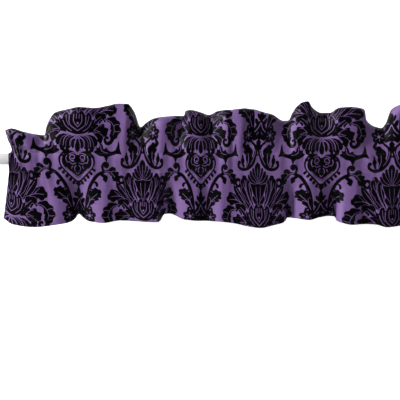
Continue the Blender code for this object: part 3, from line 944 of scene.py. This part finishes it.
def new_finish(name, constants):
    """A material with its node tree and its shader, whose constants are set on its own sockets."""
    material = bpy.data.materials.new(name)
    material.use_nodes = True
    tree = material.node_tree
    return material, tree, set_sockets(tree.nodes["Principled BSDF"], constants)


def roughen(tree, mask, low, high):
    """Roughness from low to high as the mask goes from 0 to 1."""
    spread = add_node(tree, "ShaderNodeMapRange", {"Value": mask, "To Min": low, "To Max": high})
    tree.links.new(spread.outputs["Result"], tree.nodes["Principled BSDF"].inputs["Roughness"])


def raise_up(tree, height, strength, depth):
    """Fine relief, its depth in metres."""
    raised = add_node(tree, "ShaderNodeBump", {"Height": height, "Strength": strength, "Distance": depth})
    tree.links.new(raised.outputs[0], tree.nodes["Principled BSDF"].inputs["Normal"])


def colour_mix(tree, share, first, second):
    """A blend of two colours, each a socket or plain numbers."""
    mix = tree.nodes.new("ShaderNodeMix")
    mix.data_type = "RGBA"
    for side, colour in (("A", first), ("B", second)):
        if isinstance(colour, tuple):
            mix.inputs[side].default_value = (*colour, 1)
        else:
            tree.links.new(colour, mix.inputs[side])
    tree.links.new(share, mix.inputs["Factor"])
    return mix.outputs["Result"]


def cloth_finish(name, dark, light, worn, roughness, gloss, sheen, slubs, nap, bump):
    """A woven finish that wanders between two colours, and pales to a third along folds and seams."""
    constants = {"Sheen Weight": sheen, "Sheen Roughness": 0.45, "Specular IOR Level": gloss}
    material, tree, shader = new_finish(name, constants)
    woven = tree.nodes.new("ShaderNodeGroup")
    woven.node_tree = weave
    set_sockets(woven, {"Threads per metre": THREADS, "Slubs": slubs, "Nap": nap})
    shade = add_maths(tree, "ADD", woven.outputs["Shade"], 0.5)
    wear = tree.nodes.new("ShaderNodeAttribute")
    wear.attribute_name = "edge_wear"
    rubbed = add_maths(tree, "MULTIPLY", wear.outputs["Fac"], WEAR_SHARE)
    colour = colour_mix(tree, rubbed, colour_mix(tree, shade, dark, light), worn)
    tree.links.new(colour, shader.inputs["Base Color"])
    roughen(tree, shade, roughness - ROUGHNESS_SPREAD, roughness + ROUGHNESS_SPREAD)
    raise_up(tree, woven.outputs["Height"], bump, WEAVE_DEPTH)
    return material


ground = cloth_finish(
    "purple ground",
    dark=(0.120, 0.060, 0.190),
    light=(0.194, 0.104, 0.300),
    worn=(0.24, 0.15, 0.34),
    roughness=0.46,
    gloss=0.32,
    sheen=0.02,
    slubs=1.5,
    nap=0.2,
    bump=0.8,
)
black_pile = cloth_finish(
    "black pile",
    dark=(0.0002, 0.0001, 0.0003),
    light=(0.0010, 0.0007, 0.0015),
    worn=(0.005, 0.004, 0.007),
    roughness=0.33,
    gloss=0.07,
    sheen=0.0,
    slubs=0.2,
    nap=1.0,
    bump=0.45,
)
wrong_side = cloth_finish(
    "wrong side",
    dark=(0.085, 0.048, 0.130),
    light=(0.125, 0.075, 0.185),
    worn=(0.17, 0.12, 0.24),
    roughness=0.62,
    gloss=0.20,
    sheen=0.02,
    slubs=1.6,
    nap=0.3,
    bump=0.8,
)
for finish in (ground, black_pile, wrong_side):
    cloth_data.materials.append(finish)
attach(cloth, "root")
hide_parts("valance_cloth")

# The sewing. Purple polyester thread in a lockstitch, 4 mm from stitch to stitch: one row above the pocket,
# one under it and one along the hem. Each row is seen on both faces.
STITCHES = {"Step": 0.0040, "Length": 0.0032, "Thread": 0.00042}
END_MARGIN = 0.006
THREAD_LIFT = 0.0001


def colour_ramp(tree, mask, stops):
    """A colour from a mask, between two stops: (place, colour)."""
    ramp = tree.nodes.new("ShaderNodeValToRGB")
    for element, (place, colour) in zip(ramp.color_ramp.elements, stops):
        element.position = place
        element.color = (*colour, 1)
    tree.links.new(mask, ramp.inputs["Fac"])
    tree.links.new(ramp.outputs["Color"], tree.nodes["Principled BSDF"].inputs["Base Color"])


thread, tree, _ = new_finish("purple thread", {"Sheen Weight": 0.15})
where = tree.nodes.new("ShaderNodeTexCoord").outputs["Object"]
ply = add_node(tree, "ShaderNodeTexWave", {"Vector": where, "Scale": 900, "Distortion": 1.5})
ply.bands_direction = "DIAGONAL"
colour_ramp(tree, ply.outputs["Fac"], ((0.0, (0.05, 0.028, 0.08)), (1.0, (0.12, 0.07, 0.18))))
roughen(tree, ply.outputs["Fac"], 0.55, 0.40)
raise_up(tree, ply.outputs["Fac"], 0.4, 0.0001)

stitching = bpy.data.node_groups.new("row of stitches", "GeometryNodeTree")
stitching.interface.new_socket("Line", in_out="INPUT", socket_type="NodeSocketGeometry")
for name, value in STITCHES.items():
    stitching.interface.new_socket(name, in_out="INPUT", socket_type="NodeSocketFloat").default_value = value
stitching.interface.new_socket("Stitches", in_out="OUTPUT", socket_type="NodeSocketGeometry")
given = stitching.nodes.new("NodeGroupInput").outputs
line = add_node(stitching, "GeometryNodeMeshToCurve", {0: given["Line"]})
spaced = stitching.nodes.new("GeometryNodeResampleCurve")
spaced.mode = "LENGTH"
set_sockets(spaced, {"Curve": line.outputs[0], "Length": given["Step"]})
bead = add_node(stitching, "GeometryNodeMeshUVSphere", {"Segments": 6, "Rings": 4, "Radius": 0.5})
thickness = given["Thread"]
size = add_node(stitching, "ShaderNodeCombineXYZ", {"X": given["Length"], "Y": thickness, "Z": thickness})
stretched = {"Geometry": bead.outputs["Mesh"], "Scale": size.outputs[0]}
stitch = add_node(stitching, "GeometryNodeTransform", stretched)
along = stitching.nodes.new("GeometryNodeInputTangent").outputs[0]
aim = add_node(stitching, "FunctionNodeAlignRotationToVector", {"Vector": along})
aim.axis = "X"
laid = {"Points": spaced.outputs[0], "Instance": stitch.outputs[0], "Rotation": aim.outputs[0]}
row = add_node(stitching, "GeometryNodeInstanceOnPoints", laid)
made = add_node(stitching, "GeometryNodeRealizeInstances", {0: row.outputs[0]})
smooth = add_node(stitching, "GeometryNodeSetShadeSmooth", {0: made.outputs[0]})
dyed = add_node(stitching, "GeometryNodeSetMaterial", {"Geometry": smooth.outputs[0], "Material": thread})
add_node(stitching, "NodeGroupOutput", {0: dyed.outputs[0]})


def stitch_row(name, heights):
    """A row of stitches on both faces of the cloth, from one cut edge to the other."""
    across = np.linspace(END_MARGIN, CUT_WIDTH - END_MARGIN, 800)
    places = []
    joins = []
    for up in heights:
        first = len(places)
        places += cloth_place(across, np.full_like(across, up), -THREAD_LIFT).tolist()
        joins += [(first + i, first + i + 1) for i in range(len(across) - 1)]
    data = bpy.data.meshes.new(name)
    data.from_pydata(places, joins, [])
    guide = into_scene(name + "_line", data)
    sewn = guide.modifiers.new("stitches", "NODES")
    sewn.node_group = stitching
    for item in stitching.interface.items_tree:
        if item.name in STITCHES:
            sewn[item.identifier] = STITCHES[item.name]
    evaluated = guide.evaluated_get(bpy.context.evaluated_depsgraph_get())
    stitches = into_scene(name, bpy.data.meshes.new_from_object(evaluated))
    bpy.data.objects.remove(guide)
    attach(stitches, "root")
    return stitches


seams = [
    stitch_row("upper_stitching", (UPPER_SEAM, FACING_SEAM)),
    stitch_row("lower_stitching", (SKIRT, BACK_SEAM)),
    stitch_row("hem_stitching", (HEM_STITCHES, -HEM_STITCHES)),
]

# The pole: a turned softwood curtain pole, 38 mm across, sanded and painted satin white, its ends eased.
# It fills the cloth's pocket, and shows bare for about 90 mm at each end.
POLE_RADIUS = 0.019
POLE_HALF = 0.79
END_EASE = 0.0015
END_CENTRE = 0.010
EASE_ANGLES = (90, 67.5, 45, 22.5, 0)
FACE_MARGIN = 0.0004
SIDE_MARGIN = 0.0008
PLAIN_HALF = 0.72
LENGTHS = 37
SIDES = 96
half_profile = [
    (-POLE_HALF, 0.0),
    (-POLE_HALF, END_CENTRE),
    (-POLE_HALF, POLE_RADIUS - END_EASE - FACE_MARGIN),
]
for angle in np.radians(EASE_ANGLES):
    in_from_end = END_EASE * (1 - math.sin(angle))
    half_profile.append((-POLE_HALF + in_from_end, POLE_RADIUS - END_EASE * (1 - math.cos(angle))))
half_profile.append((-POLE_HALF + END_EASE + SIDE_MARGIN, POLE_RADIUS))
profile = half_profile + [(x, POLE_RADIUS) for x in np.linspace(-PLAIN_HALF, PLAIN_HALF, LENGTHS)]
profile += [(-x, radius) for x, radius in half_profile[::-1]]
pole_points = [(profile[0][0], 0, 0), (profile[-1][0], 0, 0)]
for x, radius in profile[1:-1]:
    for side in range(SIDES):
        angle = 2 * math.pi * side / SIDES
        pole_points.append((x, radius * math.cos(angle), radius * math.sin(angle)))
pole_faces = []
rings = len(profile) - 2
for side in range(SIDES):
    after = (side + 1) % SIDES
    pole_faces.append((0, 2 + after, 2 + side))
    last = 2 + (rings - 1) * SIDES
    pole_faces.append((1, last + side, last + after))
    for ring in range(rings - 1):
        near = 2 + ring * SIDES
        pole_faces.append((near + side, near + after, near + SIDES + after, near + SIDES + side))
pole_data = bpy.data.meshes.new("painted_pole")
pole_data.from_pydata(pole_points, [], pole_faces)
pole_data.shade_smooth()
pole = into_scene("painted_pole", pole_data)

paint, tree, _ = new_finish("white satin paint", {"Coat Roughness": 0.25})
where = tree.nodes.new("ShaderNodeTexCoord").outputs["Object"]
brushed = add_noise(tree, where, 6, 5, (4, 160, 160))
mottle = add_noise(tree, where, 22, 4)
colour_ramp(tree, mottle, ((0.25, (0.62, 0.62, 0.63)), (0.7, (0.72, 0.72, 0.72))))
roughen(tree, brushed, 0.30, 0.48)
raise_up(tree, brushed, 0.25, 0.0003)
pole_data.materials.append(paint)
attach(pole, "root")
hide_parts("pole")

# The room: a pale floor two metres down, and a white backdrop close behind the cloth that is clear from
# behind and casts no shadow. Both are matt and glow a little to the camera, so they stay white.
FLOOR_DOWN = -2.0
FLOOR_REACH = 12
BACKDROP_BEHIND = 0.09
BACKDROP_REACH = 4
BACKDROP_TOP = 1.6
FLOOR_GLOW = 0.7
BACKDROP_GLOW = 0.78
CORNERS = ((-1, -1), (1, -1), (1, 1), (-1, 1))


def flat_stage(name, corners, material):
    """A flat sheet of the room, which isn't part of the valance."""
    data = bpy.data.meshes.new(name)
    data.from_pydata(corners, [], [(0, 1, 2, 3)])
    data.materials.append(material)
    stage = into_scene(name, data)
    return stage


def pale_finish(name, glow):
    """Matt white paint with a glow of its own, so that it stays white and takes only a faint shadow."""
    constants = {
        "Base Color": (0.85, 0.85, 0.85, 1),
        "Roughness": 1.0,
        "Specular IOR Level": 0.0,
        "Emission Color": (1, 1, 1, 1),
    }
    material, tree, shader = new_finish(name, constants)
    seen = tree.nodes.new("ShaderNodeLightPath").outputs["Is Camera Ray"]
    set_sockets(shader, {"Emission Strength": add_maths(tree, "MULTIPLY", seen, glow)})
    return material, tree, shader


floor_corners = [(FLOOR_REACH * x, FLOOR_REACH * y, FLOOR_DOWN) for x, y in CORNERS]
flat_stage("floor", floor_corners, pale_finish("pale floor", FLOOR_GLOW)[0])

backdrop_finish, tree, shader = pale_finish("white backdrop", BACKDROP_GLOW)
from_behind = tree.nodes.new("ShaderNodeNewGeometry").outputs["Backfacing"]
set_sockets(shader, {"Alpha": add_maths(tree, "SUBTRACT", 1.0, from_behind)})
heights = {-1: FLOOR_DOWN, 1: BACKDROP_TOP}
backdrop_corners = [(BACKDROP_REACH * x, BACKDROP_BEHIND, heights[z]) for x, z in CORNERS]
flat_stage("backdrop", backdrop_corners, backdrop_finish).visible_shadow = False

# The light: a soft one far to the left, in front and above, and a weak one to the right, both turned to the
# cloth, in a dim room that is white to the camera. Places and sizes are in metres, and power in watts.
LIT_PLACE = (-0.05, 0.0, 0.0)
ROOM_BRIGHTNESS = 0.05


def soft_light(name, place, size, watts):
    """A round soft light, turned to the cloth."""
    data = bpy.data.lights.new(name, "AREA")
    data.shape = "DISK"
    data.size = size
    data.energy = watts
    light = into_scene(name, data)
    light.location = place
    toward = np.array(LIT_PLACE) - np.array(place)
    across_angle = math.atan2(toward[1], toward[0]) - math.pi / 2
    drop_angle = math.atan2(math.hypot(toward[0], toward[1]), -toward[2])
    light.rotation_euler = (drop_angle, 0, across_angle)


soft_light("key", place=(-6.5, -2.4, 3.1), size=1.6, watts=900)
soft_light("fill", place=(1.7, -2.0, 1.0), size=1.6, watts=12)
room = bpy.data.worlds.new("white room")
bpy.context.scene.world = room
room.use_nodes = True
tree = room.node_tree
seen = tree.nodes.new("ShaderNodeLightPath").outputs["Is Camera Ray"]
strength = add_node(tree, "ShaderNodeMapRange", {"Value": seen, "To Min": ROOM_BRIGHTNESS, "To Max": 1.0})
set_sockets(tree.nodes["Background"], {"Color": (1, 1, 1, 1), "Strength": strength.outputs["Result"]})
bpy.context.scene.view_settings.view_transform = "Standard"

# The camera: straight in front and a little above, far enough back that the pole stays nearly parallel. The
# view is as wide as the photograph's, and its middle lies below the pole as it does there.
CAMERA_AWAY = 3.0
CAMERA_RISE = math.radians(4)
VIEW_WIDTH = 1.32
VIEW_MIDDLE = (-0.0746, -0.1353)
SENSOR = 36
lens = bpy.data.cameras.new("camera")
lens.type = "PERSP"
lens.sensor_width = SENSOR
lens.lens = SENSOR * CAMERA_AWAY / VIEW_WIDTH
camera = into_scene("camera", lens)
camera.location = (
    VIEW_MIDDLE[0],
    -CAMERA_AWAY * math.cos(CAMERA_RISE),
    VIEW_MIDDLE[1] + CAMERA_AWAY * math.sin(CAMERA_RISE),
)
camera.rotation_euler = (math.pi / 2 - CAMERA_RISE, 0, 0)
bpy.context.scene.camera = camera
